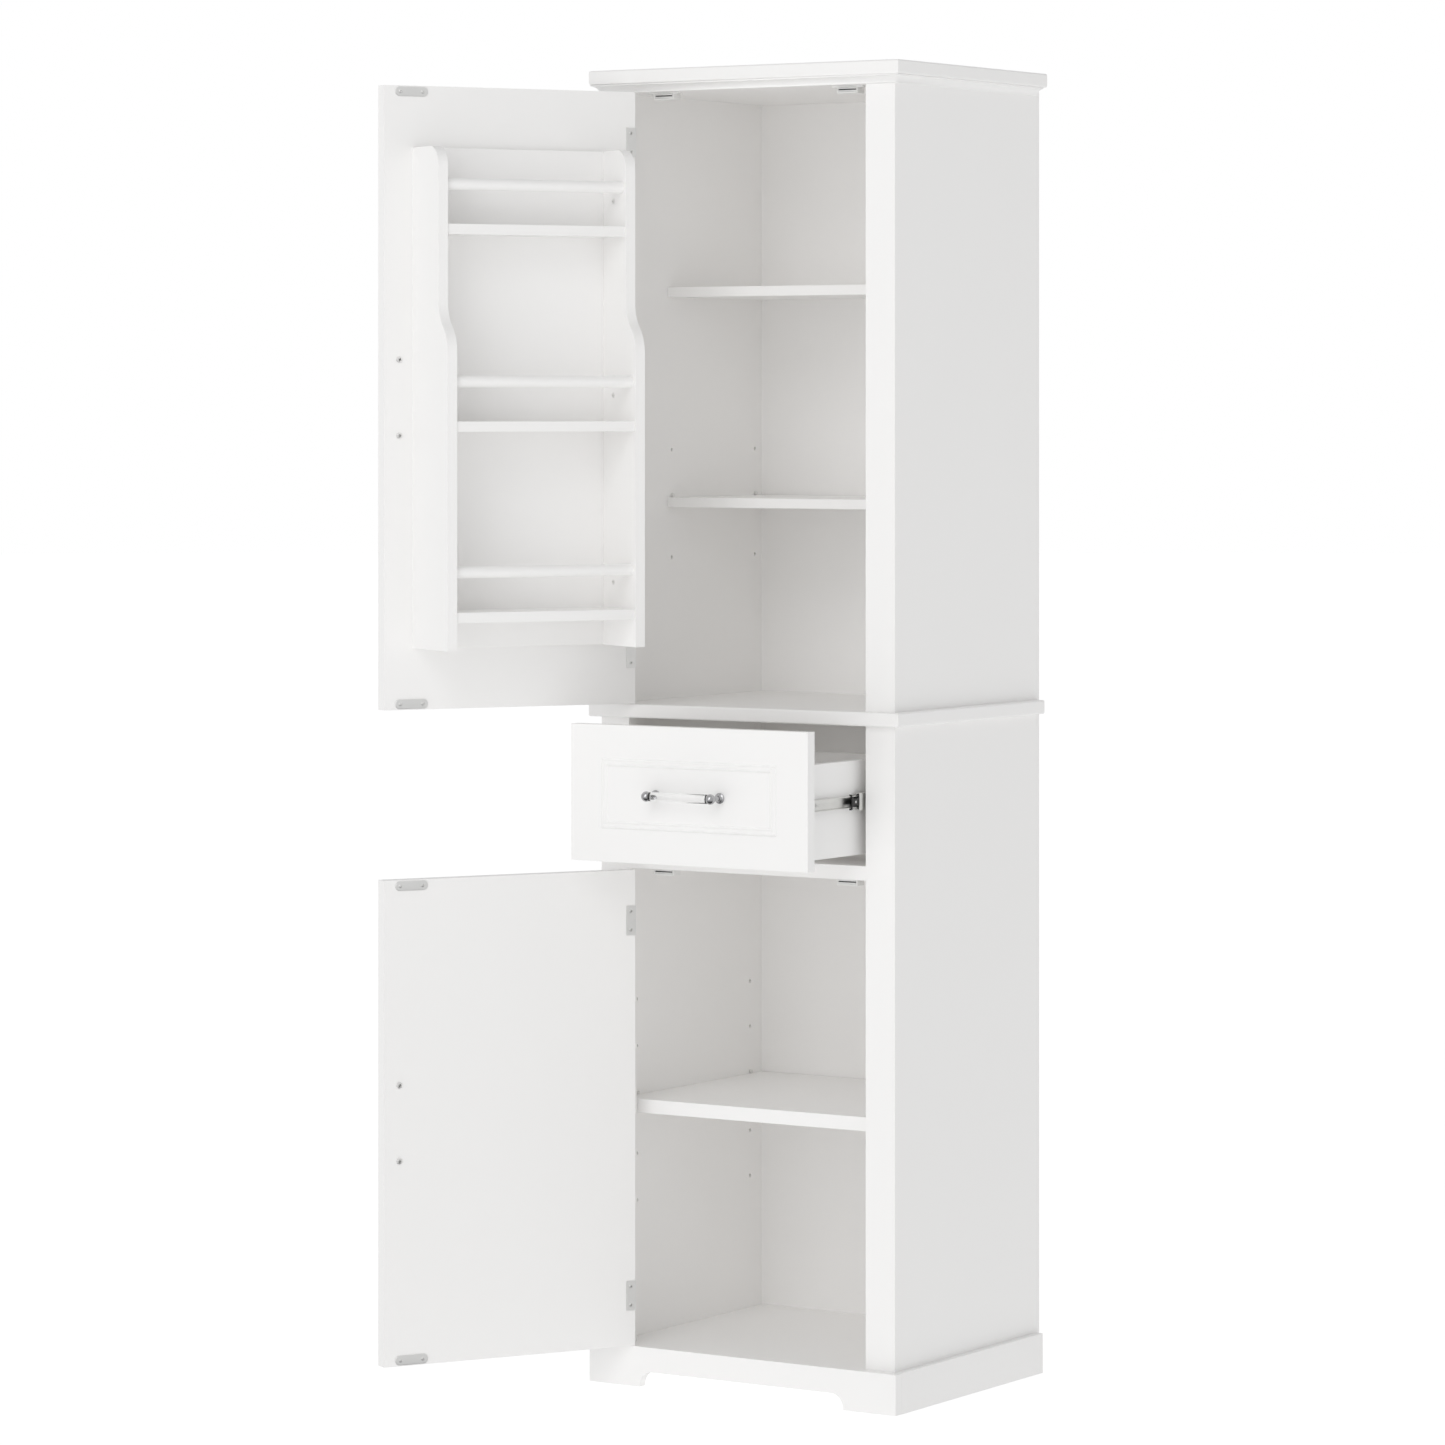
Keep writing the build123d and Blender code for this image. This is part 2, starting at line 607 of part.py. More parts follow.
def door(prefix, z0, height, hinges):
    """A door with its hinge leaves' screws, strike plates and handle, in the open doors' plane."""
    handle_x = door_free_edge - door_handle_from_free_edge
    handle_z = z0 + height / 2
    strike_x = door_free_edge - strike_from_free_edge
    strike_heights = (z0 + strike_from_end, z0 + height - strike_from_end)
    half_strike_spacing = strike_screw_spacing / 2
    strike_screws = [Plane(origin=(strike_x + side * half_strike_spacing, door_back + strike_thickness, z),
                           z_dir=(0, 1, 0)) for z in strike_heights for side in (-1, 1)]
    handle_places = handle_screw_places(handle_x, handle_z, False, door_back)
    front(f"{prefix}_panel", door_plane, door_edge, door_free_edge, door_face, z0, z0 + height, panel,
          handle_places, strike_screws + door_leaf_screws(hinges))
    with BuildPart(door_plane) as plates:
        with BuildSketch(upright(door_plane, door_back)):
            with Locations(*[(strike_x, z) for z in strike_heights]):
                RectangleRounded(strike_length, strike_height, strike_corner_radius)
        extrude(amount=-strike_thickness)
        screw_holes(strike_screws, small_screw_radius)
    save(plates, f"{prefix}_strike_plates")
    with BuildPart(door_plane) as screws:
        pan_screws(strike_screws + door_leaf_screws(hinges))
        handle_screws(handle_places, panel)
    save(screws, f"{prefix}_screws")
    handle_origin = door_plane.from_local_coords((handle_x, door_face, handle_z))
    handle(prefix, Plane(origin=handle_origin, x_dir=(0, 0, 1), z_dir=-door_plane.y_dir))


door("upper_door", upper_door_z, upper_door_height, upper_hinges)
door("lower_door", lower_door_z, lower_door_height, lower_hinges)


# ---- Rack on the upper door ------------------------------------------------------------------------
rack_top_z = rack_z + rack_height
rack_inner_left = rack_x + rack_board
rack_inner_right = rack_x + rack_width - rack_board
rack_screw_places = {
    hand: [Plane(origin=(x, door_back + rack_screw_setback, top + rack_screw_rise), z_dir=(-hand, 0, 0))
           for top in rack_shelf_tops.values()]
    for hand, x in ((-1, rack_inner_left), (1, rack_inner_right))
}


def rack_depth(z):
    """How far the rack's sides stand out from the door at a height."""
    return rack_lower_depth if z < rack_step_z else rack_upper_depth


def rack_side(label, x, screw_places):
    """A side of the rack: deep below, narrower above an S-shaped step, with a rounded top corner."""
    lower_y = door_back + rack_lower_depth
    upper_y = door_back + rack_upper_depth
    step_foot = (lower_y, rack_step_z)
    step_middle = ((lower_y + upper_y) / 2, rack_step_z + rack_step_height / 2)
    step_head = (upper_y, rack_step_z + rack_step_height)
    side_plane = Plane(origin=door_plane.from_local_coords((x, 0, 0)),
                       x_dir=door_plane.y_dir, z_dir=door_plane.x_dir)
    with BuildPart(door_plane) as side:
        with BuildSketch(side_plane):
            with BuildLine():
                corner_foot = (upper_y, rack_top_z - rack_corner_radius)
                corner_head = (upper_y - rack_corner_radius, rack_top_z)
                Polyline(corner_head, (door_back, rack_top_z), (door_back, rack_z),
                         (lower_y, rack_z), step_foot)
                TangentArc(step_foot, step_middle, tangent=(0, 1))
                TangentArc(step_head, step_middle, tangent=(0, -1))
                Line(step_head, corner_foot)
                TangentArc(corner_foot, corner_head, tangent=(0, 1))
            make_face()
        extrude(amount=rack_board)
        screw_holes(screw_places, small_screw_radius)
    save(side, label)


rack_side("rack_left", rack_x, rack_screw_places[-1])
rack_side("rack_right", rack_inner_right, rack_screw_places[1])

with BuildPart(door_plane) as rack_back:
    block(rack_inner_left, rack_inner_right, door_back, door_back + rack_board, rack_z, rack_top_z)
save(rack_back, "rack_back")

for level, shelf_top in rack_shelf_tops.items():
    with BuildPart(door_plane) as rack_shelf:
        block(rack_inner_left, rack_inner_right, door_back + rack_board,
              door_back + rack_depth(shelf_top) - rack_shelf_setback, shelf_top - rack_board, shelf_top)
    save(rack_shelf, f"rack_shelf_{level}")

with BuildPart(door_plane) as rack_rails:
    for shelf_top in rack_shelf_tops.values():
        rail_place = ((rack_inner_left + rack_inner_right) / 2,
                      door_back + rack_depth(shelf_top) - rack_rail_setback, shelf_top + rack_rail_rise)
        with Locations(Location(rail_place, (0, 90, 0))):
            Cylinder(rack_rail_radius, rack_inner_right - rack_inner_left)
save(rack_rails, "rack_rails")

with BuildPart(door_plane) as rack_screws:
    for places in rack_screw_places.values():
        pan_screws(places, head_radius=rack_screw_head_radius)
save(rack_screws, "rack_screws")


# ---- Drawer ----------------------------------------------------------------------------------------
drawer_front_z = drawer_floor_z + drawer_end_gap
drawer_front_half = half_opening - drawer_side_gap
drawer_box_z = drawer_front_z + drawer_box_rise
drawer_box_top = drawer_box_z + drawer_box_height
drawer_half = half_opening - slide_width
drawer_rear = drawer_front_thickness + drawer_box_depth
drawer_bottom_z = drawer_box_z + drawer_bottom_rise
drawer_handle_z = (drawer_front_z + waist_z - drawer_end_gap) / 2
drawer_handle_places = handle_screw_places(0, drawer_handle_z, True, drawer_front_thickness)
inner_half_drawer = drawer_half - drawer_side_thickness
groove_reach = inner_half_drawer + drawer_groove_depth


def drawer_slide_screws(hand):
    """The screws of one inner slide member, in the drawer's plane, which go into the drawer's side."""
    x = hand * (drawer_half + slide_sheet)
    return [Plane(origin=(x, slide_setback + inset, slide_z), z_dir=(hand, 0, 0))
            for inset in slide_screw_insets]


front("drawer_front", drawer_plane, -drawer_front_half, drawer_front_half, 0,
      drawer_front_z, waist_z - drawer_end_gap, drawer_front_thickness, drawer_handle_places)
for hand, side_name in ((-1, "left"), (1, "right")):
    with BuildPart(drawer_plane) as drawer_side:
        block(hand * inner_half_drawer, hand * drawer_half, drawer_front_thickness, drawer_rear,
              drawer_box_z, drawer_box_top)
        block(hand * inner_half_drawer, hand * groove_reach, drawer_front_thickness, drawer_rear,
              drawer_bottom_z - drawer_groove_clearance,
              drawer_bottom_z + drawer_bottom_thickness + drawer_groove_clearance, mode=Mode.SUBTRACT)
        screw_holes(drawer_slide_screws(hand), small_screw_radius)
    save(drawer_side, f"drawer_side_{side_name}")

with BuildPart(drawer_plane) as drawer_bottom:
    reach = groove_reach - drawer_groove_clearance
    block(-reach, reach, drawer_front_thickness, drawer_rear,
          drawer_bottom_z, drawer_bottom_z + drawer_bottom_thickness)
save(drawer_bottom, "drawer_bottom")

with BuildPart(drawer_plane) as drawer_back:
    block(-inner_half_drawer, inner_half_drawer, drawer_rear - drawer_side_thickness, drawer_rear,
          drawer_bottom_z + drawer_bottom_thickness, drawer_box_top)
save(drawer_back, "drawer_back")

handle("drawer", Plane(origin=drawer_plane.from_local_coords((0, 0, drawer_handle_z)),
                       x_dir=(1, 0, 0), z_dir=(0, -1, 0)))

with BuildPart(drawer_plane) as drawer_screws:
    handle_screws(drawer_handle_places, drawer_front_thickness)
    for hand in (-1, 1):
        pan_screws(drawer_slide_screws(hand))
save(drawer_screws, "drawer_screws")


# ---- Drawer slides ---------------------------------------------------------------------------------
# Across a slide, s runs from the spacer block's face towards the drawer. The members are channels:
# the outer and middle ones open towards the drawer, the inner one, on the drawer, away from it.
ball_gap = 2 * (ball_radius + ball_clearance)
middle_half_height = inner_half_height + ball_gap + slide_sheet
outer_half_height = middle_half_height + ball_gap + slide_sheet
inner_race_z = inner_half_height + ball_gap / 2
outer_race_z = middle_half_height + ball_gap / 2
outer_cage_s = (slide_sheet + slide_web_step) / 2 - cage_sheet / 2
inner_cage_s = slide_sheet + slide_web_step + cage_sheet
inner_flange_s = inner_cage_s + 2 * cage_sheet + screw_clearance
outer_ball_s = slide_web_step + outer_ball_offset
inner_ball_s = slide_web_step + inner_ball_offset


def channel(hand, web_s, flange_s, half_height, y0, y1):
    """A channel with its web at web_s and its flanges reaching to flange_s, centred on the slide's line."""
    inward = slide_sheet if flange_s > web_s else -slide_sheet
    x_web, x_web_inner = hand * (half_opening - web_s), hand * (half_opening - web_s - inward)
    block(x_web, x_web_inner, y0, y1, slide_z - half_height, slide_z + half_height)
    for side in (-1, 1):
        block(x_web, hand * (half_opening - flange_s), y0, y1,
              slide_z + side * (half_height - slide_sheet), slide_z + side * half_height)


def spacer_screws(hand):
    """The screws of one outer slide member, which go into its spacer block."""
    x = hand * (half_opening - slide_sheet)
    return [Plane(origin=(x, front_y + slide_setback + inset, slide_z), z_dir=(-hand, 0, 0))
            for inset in slide_screw_insets]


with BuildPart() as slide_spacers:
    for hand in (-1, 1):
        block(hand * half_opening, hand * half_inside, frame_y, frame_y + spacer_length,
              slide_z - spacer_half_height, slide_z + spacer_half_height)
        countersunk(spacer_screws(hand), slack=screw_clearance, mode=Mode.SUBTRACT)
save(slide_spacers, "slide_spacers")

with BuildPart() as slide_outer_members:
    for hand in (-1, 1):
        channel(hand, 0, slide_flange_depth, outer_half_height,
                front_y + slide_setback, front_y + slide_setback + slide_length)
        countersunk(spacer_screws(hand), slack=screw_clearance, mode=Mode.SUBTRACT)
save(slide_outer_members, "slide_outer_members")

middle_y = front_y + middle_setback - drawer_pull * middle_ratio
with BuildPart() as slide_middle_members:
    for hand in (-1, 1):
        channel(hand, slide_web_step, slide_web_step + slide_flange_depth - slide_sheet, middle_half_height,
                middle_y, middle_y + middle_length)
save(slide_middle_members, "slide_middle_members")

with BuildPart(drawer_plane) as slide_inner_members:
    for hand in (-1, 1):
        channel(hand, slide_width, inner_flange_s, inner_half_height,
                slide_setback, slide_setback + slide_length)
        screw_holes(drawer_slide_screws(hand), small_screw_radius)
save(slide_inner_members, "slide_inner_members")

# A bumper closes the front of each middle member: a waisted plate with a wing over each inner flange.
with BuildPart() as slide_bumpers:
    bumper_half = middle_half_height - slide_sheet - ball_clearance
    bumper_s = slide_web_step + slide_sheet + ball_clearance
    front_end = middle_y + bumper_seat - bumper_length
    rear_end = front_end + bumper_length
    waist_place = (front_end + rear_end) / 2
    for hand in (-1, 1):
        with BuildSketch(wall_plane(hand, half_opening - bumper_s - bumper_thickness)):
            with BuildLine():
                for side in (-1, 1):
                    ThreePointArc((hand * front_end, slide_z + side * bumper_half),
                                  (hand * waist_place, slide_z + side * bumper_waist / 2),
                                  (hand * rear_end, slide_z + side * bumper_half))
                for y in (front_end, rear_end):
                    Line((hand * y, slide_z - bumper_half), (hand * y, slide_z + bumper_half))
            make_face()
        extrude(amount=bumper_thickness)
        for side in (-1, 1):
            block(hand * (half_opening - bumper_s), hand * (half_opening - inner_ball_s),
                  front_end, rear_end,
                  slide_z + side * (inner_half_height + bumper_clearance), slide_z + side * bumper_half)
save(slide_bumpers, "slide_bumpers")


def ball_cages(label, web_s, arm_s, ball_s, race_z, y0):
    """Both slides' cages for one race, with their balls as separate solids between the flanges."""
    pitch = cage_length / ball_count
    ball_rows = [(hand * (half_opening - ball_s), y0 + pitch * (number + 0.5), slide_z + side * race_z)
                 for hand in (-1, 1) for side in (-1, 1) for number in range(ball_count)]
    half_sheet = cage_sheet / 2
    with BuildPart() as cages:
        for hand in (-1, 1):
            x_web = hand * (half_opening - web_s)
            block(x_web, x_web - hand * cage_sheet, y0, y0 + cage_length,
                  slide_z - race_z - half_sheet, slide_z + race_z + half_sheet)
            for side in (-1, 1):
                block(x_web, hand * (half_opening - arm_s), y0, y0 + cage_length,
                      slide_z + side * race_z - half_sheet, slide_z + side * race_z + half_sheet)
        with Locations(*ball_rows):
            Cylinder(ball_radius + screw_clearance, ball_gap, mode=Mode.SUBTRACT)
        with Locations(*ball_rows):
            Sphere(ball_radius)
    save(cages, label)


ball_cages("outer_ball_cages", outer_cage_s, slide_flange_depth - slide_sheet, outer_ball_s, outer_race_z,
           front_y + outer_cage_setback - drawer_pull * outer_cage_ratio)
ball_cages("inner_ball_cages", inner_cage_s, slide_flange_depth + slide_sheet, inner_ball_s, inner_race_z,
           front_y + inner_cage_setback - drawer_pull * inner_cage_ratio)

# ---- Screws of the cabinet itself ------------------------------------------------------------------
with BuildPart() as cabinet_screws:
    countersunk(frame_leaf_screws(upper_hinges + lower_hinges))
    pan_screws(catch_screws(ceiling_z) + catch_screws(divider_z))
    for hand in (-1, 1):
        countersunk(spacer_screws(hand))
save(cabinet_screws, "cabinet_screws")
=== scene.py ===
import json
import math

import bmesh
import bpy
from mathutils import Matrix, Vector


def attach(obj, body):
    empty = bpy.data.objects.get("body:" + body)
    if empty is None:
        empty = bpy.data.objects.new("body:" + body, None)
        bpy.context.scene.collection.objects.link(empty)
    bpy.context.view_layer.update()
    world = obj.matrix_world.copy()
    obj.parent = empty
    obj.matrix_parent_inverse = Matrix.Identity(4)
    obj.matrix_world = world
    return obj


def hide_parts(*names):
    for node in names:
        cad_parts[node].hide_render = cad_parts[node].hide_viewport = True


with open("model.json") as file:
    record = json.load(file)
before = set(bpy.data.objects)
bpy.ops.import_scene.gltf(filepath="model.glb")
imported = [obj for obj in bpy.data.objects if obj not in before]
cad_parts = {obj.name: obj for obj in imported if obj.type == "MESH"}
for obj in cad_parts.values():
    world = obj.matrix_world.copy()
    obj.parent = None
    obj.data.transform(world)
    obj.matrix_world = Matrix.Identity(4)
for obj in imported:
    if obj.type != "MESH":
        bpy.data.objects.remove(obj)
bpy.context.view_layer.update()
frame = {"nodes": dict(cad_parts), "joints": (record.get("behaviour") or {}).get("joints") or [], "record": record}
nodes = frame["nodes"]

MM = 0.001
UP = Vector((0, 0, 1))
CABINET_AXES = (Vector((1, 0, 0)), Vector((0, 1, 0)), UP)


# ---- Materials -------------------------------------------------------------------------------------
def new_material(name, color, roughness, metallic=0.0, specular=0.5):
    """A Principled material with constant values, and its node tree and shader."""
    material = bpy.data.materials.new(name)
    material.use_nodes = True
    tree = material.node_tree
    shader = tree.nodes["Principled BSDF"]
    shader.inputs["Base Color"].default_value = (*color, 1)
    shader.inputs["Roughness"].default_value = roughness
    shader.inputs["Metallic"].default_value = metallic
    shader.inputs["Specular IOR Level"].default_value = specular
    return material, tree, shader


def pattern(tree, scale, detail=2.0, stretch=(1, 1, 1)):
    """A noise over the surface, its size in features per metre, longer along the axes stretch divides."""
    place = tree.nodes.new("ShaderNodeTexCoord")
    mapping = tree.nodes.new("ShaderNodeMapping")
    mapping.inputs["Scale"].default_value = stretch
    noise = tree.nodes.new("ShaderNodeTexNoise")
    noise.inputs["Scale"].default_value = scale
    noise.inputs["Detail"].default_value = detail
    tree.links.new(place.outputs["Object"], mapping.inputs["Vector"])
    tree.links.new(mapping.outputs["Vector"], noise.inputs["Vector"])
    return noise.outputs["Fac"]


def vary_color(tree, shader, factor, low, high):
    mix = tree.nodes.new("ShaderNodeMix")
    mix.data_type = "RGBA"
    tree.links.new(factor, mix.inputs["Factor"])
    mix.inputs["A"].default_value = (*low, 1)
    mix.inputs["B"].default_value = (*high, 1)
    tree.links.new(mix.outputs["Result"], shader.inputs["Base Color"])


def vary_roughness(tree, shader, factor, low, high):
    spread = tree.nodes.new("ShaderNodeMapRange")
    spread.inputs["To Min"].default_value = low
    spread.inputs["To Max"].default_value = high
    tree.links.new(factor, spread.inputs["Value"])
    tree.links.new(spread.outputs["Result"], shader.inputs["Roughness"])


def relief(tree, shader, factor, depth):
    """A bump of a depth in metres."""
    bump = tree.nodes.new("ShaderNodeBump")
    bump.inputs["Distance"].default_value = depth
    tree.links.new(factor, bump.inputs["Height"])
    tree.links.new(bump.outputs["Normal"], shader.inputs["Normal"])


def painted(name, low, high, roughness, peel_depth):
    """A sprayed finish: faint clouding of its colour and gloss, and a fine orange peel."""
    material, tree, shader = new_material(name, high, sum(roughness) / 2)
    vary_color(tree, shader, pattern(tree, 5, detail=4), low, high)
    vary_roughness(tree, shader, pattern(tree, 60, detail=3), *roughness)
    relief(tree, shader, pattern(tree, 420), peel_depth)
    return material


def metal(name, low, high, roughness, stretch=(1, 1, 1), grain=900, depth=0.00001):
    """A plated metal with fine streaks of gloss and height."""
    material, tree, shader = new_material(name, high, sum(roughness) / 2, metallic=1.0)
    vary_color(tree, shader, pattern(tree, 40, detail=3), low, high)
    streaks = pattern(tree, grain, detail=3, stretch=stretch)
    vary_roughness(tree, shader, streaks, *roughness)
    relief(tree, shader, streaks, depth)
    return material


def moulded(name, low, high, roughness):
    """An injection-moulded plastic with a fine spark-eroded grain."""
    material, tree, shader = new_material(name, high, sum(roughness) / 2)
    vary_color(tree, shader, pattern(tree, 90), low, high)
    vary_roughness(tree, shader, pattern(tree, 500), *roughness)
    relief(tree, shader, pattern(tree, 2500), 0.00002)
    return material


def clear_acrylic():
    material, tree, shader = new_material("clear_acrylic", (1, 1, 1), 0.02)
    shader.inputs["Transmission Weight"].default_value = 1.0
    shader.inputs["IOR"].default_value = 1.49
    vary_roughness(tree, shader, pattern(tree, 300), 0.01, 0.05)
    return material


SLIDE_STREAKS = (1, 0.02, 1)
WARM_WHITES = ((0.915, 0.909, 0.902), (0.925, 0.92, 0.914))
materials = {
    "white_paint": painted("white_paint", (0.92, 0.914, 0.906), (0.93, 0.925, 0.918), (0.34, 0.44), 0.00003),
    "white_back_board": painted("white_back_board", *WARM_WHITES, (0.5, 0.6), 0.00002),
    "white_drawer_box": painted("white_drawer_box", *WARM_WHITES, (0.4, 0.5), 0.00004),
    "nickel": metal("nickel", (0.8, 0.8, 0.79), (0.86, 0.86, 0.85), (0.3, 0.42)),
    "zinc": metal("zinc", (0.74, 0.74, 0.72), (0.82, 0.82, 0.8), (0.24, 0.4), stretch=SLIDE_STREAKS),
    "chrome": metal("chrome", (0.44, 0.44, 0.45), (0.48, 0.48, 0.49), (0.04, 0.08), depth=0.000002),
    "clear_acrylic": clear_acrylic(),
    "white_plastic": moulded("white_plastic", (0.83, 0.83, 0.82), (0.86, 0.86, 0.85), (0.38, 0.5)),
    "black_plastic": moulded("black_plastic", (0.012, 0.012, 0.012), (0.022, 0.022, 0.022), (0.35, 0.5)),
}


# ---- The CAD pieces: their materials and rounded edges -----------------------------------------------
def soften(piece, width, segments=3):
    """Rounds the edges of a piece, which is welded first because its faces come in apart."""
    weld = piece.modifiers.new("weld", "WELD")
    weld.merge_threshold = 0.002 * MM
    bevel = piece.modifiers.new("bevel", "BEVEL")
    bevel.width = width
    bevel.segments = segments
    bevel.limit_method = "ANGLE"
    bevel.angle_limit = math.radians(40)
    shade = piece.modifiers.new("shade", "WEIGHTED_NORMAL")
    shade.weight = 50
    shade.keep_sharp = False


slot_of = {subpart["node"]: subpart["material_slot"] for subpart in frame["record"]["subparts"]}
edge_widths = {
    "white_paint": 0.7 * MM,
    "white_back_board": 0.3 * MM,
    "white_drawer_box": 0.5 * MM,
    "nickel": 0.15 * MM,
    "zinc": 0.25 * MM,
    "white_plastic": 0.4 * MM,
    "black_plastic": 0.3 * MM,
}
for name, piece in nodes.items():
    slot = slot_of[name]
    for index in range(len(piece.material_slots)):
        piece.material_slots[index].link = "OBJECT"
        piece.material_slots[index].material = materials[slot]
    if slot in edge_widths and not name.endswith("hinge_leaves"):
        soften(piece, edge_widths[slot])


# ---- Shapes for the detailed pieces ------------------------------------------------------------------
def lathe(profile, steps=48):
    """A solid of revolution about Z from (radius, height) points; radius 0 closes an end."""
    shape = bmesh.new()
    rings = []
    for radius, height in profile:
        count = 1 if radius == 0 else steps
        rings.append([shape.verts.new((radius * math.cos(math.tau * step / steps),
                                       radius * math.sin(math.tau * step / steps), height))
                      for step in range(count)])
    for low, high in zip(rings, rings[1:]):
        for step in range(steps):
            after = step + 1
            corners = (low[step % len(low)], low[after % len(low)],
                       high[after % len(high)], high[step % len(high)])
            shape.faces.new(dict.fromkeys(corners))
    bmesh.ops.recalc_face_normals(shape, faces=shape.faces)
    return shape


def arc(centre, radius, start, end, steps=8):
    """Points along an arc, with its angles in degrees."""
    angles = [math.radians(start + (end - start) * step / steps) for step in range(steps + 1)]
    return [(centre[0] + radius * math.cos(angle), centre[1] + radius * math.sin(angle)) for angle in angles]


def prism(outline, low, high, top_scale=1.0):
    """A solid from an outline in XY, from height low to high, where it is scaled about the origin."""
    shape = bmesh.new()
    foot = [shape.verts.new((x, y, low)) for x, y in outline]
    head = [shape.verts.new((x * top_scale, y * top_scale, high)) for x, y in outline]
    shape.faces.new(reversed(foot))
    shape.faces.new(head)
    for index in range(len(outline)):
        after = (index + 1) % len(outline)
        shape.faces.new((foot[index], foot[after], head[after], head[index]))
    bmesh.ops.recalc_face_normals(shape, faces=shape.faces)
    return shape


def round_edges(shape, width, segments=3, angle=40):
    """Rounds the edges of a shape that are sharper than an angle."""
    sharp = [edge for edge in shape.edges
             if edge.is_manifold and edge.calc_face_angle() > math.radians(angle)]
    bmesh.ops.bevel(shape, geom=sharp, offset=width, segments=segments, profile=0.5, affect="EDGES",
                    clamp_overlap=True)


def cut(shape, cutter):
    """The shape less the cutter; both are used up."""
    pair = []
    for solid in (shape, cutter):
        mesh = bpy.data.meshes.new("solid")
        solid.to_mesh(mesh)
        solid.free()
        holder = bpy.data.objects.new("solid", mesh)
        bpy.context.scene.collection.objects.link(holder)
        pair.append(holder)
    body, tool = pair
    modifier = body.modifiers.new("cut", "BOOLEAN")
    modifier.operation = "DIFFERENCE"
    modifier.solver = "EXACT"
    modifier.object = tool
    depsgraph = bpy.context.evaluated_depsgraph_get()
    result = bmesh.new()
    result.from_mesh(bpy.data.meshes.new_from_object(body.evaluated_get(depsgraph)))
    for holder in pair:
        bpy.data.objects.remove(holder)
    bmesh.ops.remove_doubles(result, verts=result.verts, dist=0.0005 * MM)
    return result


def placed(shape, places):
    """One shape with a copy of the given one at each of the places, which are matrices."""
    mesh = bpy.data.meshes.new("copies")
    shape.to_mesh(mesh)
    shape.free()
    copies = bmesh.new()
    for place in places:
        start = len(copies.verts)
        copies.from_mesh(mesh)
        copies.verts.ensure_lookup_table()
        bmesh.ops.transform(copies, matrix=place, verts=copies.verts[start:])
    bpy.data.meshes.remove(mesh)
    return copies


def merged(shapes):
    """One shape with all the given ones in it."""
    together = bmesh.new()
    for shape in shapes:
        mesh = bpy.data.meshes.new("part")
        shape.to_mesh(mesh)
        shape.free()
        together.from_mesh(mesh)
        bpy.data.meshes.remove(mesh)
    return together


def show(shape, name, slot, body, replaced=(), crease=32):
    """Makes a shape into a piece of a body, smooth except where it turns by more than crease degrees."""
    for face in shape.faces:
        face.smooth = True
    for edge in shape.edges:
        edge.smooth = not edge.is_manifold or edge.calc_face_angle() < math.radians(crease)
    mesh = bpy.data.meshes.new(name)
    shape.to_mesh(mesh)
    shape.free()
    mesh.materials.append(materials[slot])
    piece = bpy.data.objects.new(name, mesh)
    bpy.context.scene.collection.objects.link(piece)
    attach(piece, body)
    if replaced:
        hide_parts(*replaced)
    return piece


def stand(origin, outwards, across):
    """The matrix that takes Z to outwards and X to across, at an origin."""
    depth = outwards.cross(across)
    turn = Matrix((across, depth, outwards)).transposed().to_4x4()
    return Matrix.Translation(origin) @ turn


# ---- Places read from the frame ----------------------------------------------------------------------
def islands(node):
    """The corners of each solid of a CAD node."""
    shape = bmesh.new()
    shape.from_mesh(nodes[node].data)
    bmesh.ops.remove_doubles(shape, verts=shape.verts, dist=0.002 * MM)
    seen = set()
    groups = []
    for first in shape.verts:
        if first in seen:
            continue
        seen.add(first)
        group = [first]
        for corner in group:
            for edge in corner.link_edges:
                other = edge.other_vert(corner)
                if other not in seen:
                    seen.add(other)
                    group.append(other)
        groups.append([corner.co.copy() for corner in group])
    shape.free()
    return groups


def door_axes(joint_name):
    """The directions of an open door: along it from its hinge, and out of its inner face."""
    joint = next(joint for joint in frame["joints"] if joint["name"] == joint_name)
    swing = math.radians(joint["range_deg"][0])
    return Vector((math.cos(swing), math.sin(swing), 0)), Vector((-math.sin(swing), math.cos(swing), 0))


door_along, door_inwards = door_axes("upper_door_hinge")
DOOR_AXES = (door_along, door_inwards, UP)


def middle(points):
    return sum(points, Vector()) / len(points)


def reach(points, direction):
    """The lowest and highest place of the points along a direction."""
    along = [point.dot(direction) for point in points]
    return min(along), max(along)


def off_axis(point, centre, axis):
    """How far a point lies from an axis through a centre."""
    return (point - centre).cross(axis).length


# ---- Screws ------------------------------------------------------------------------------------------
RECESS_ARM = 0.58  # of the head's radius, from its centre to the end of an arm
RECESS_WIDTH = 0.17  # of the head's radius, half the width of an arm


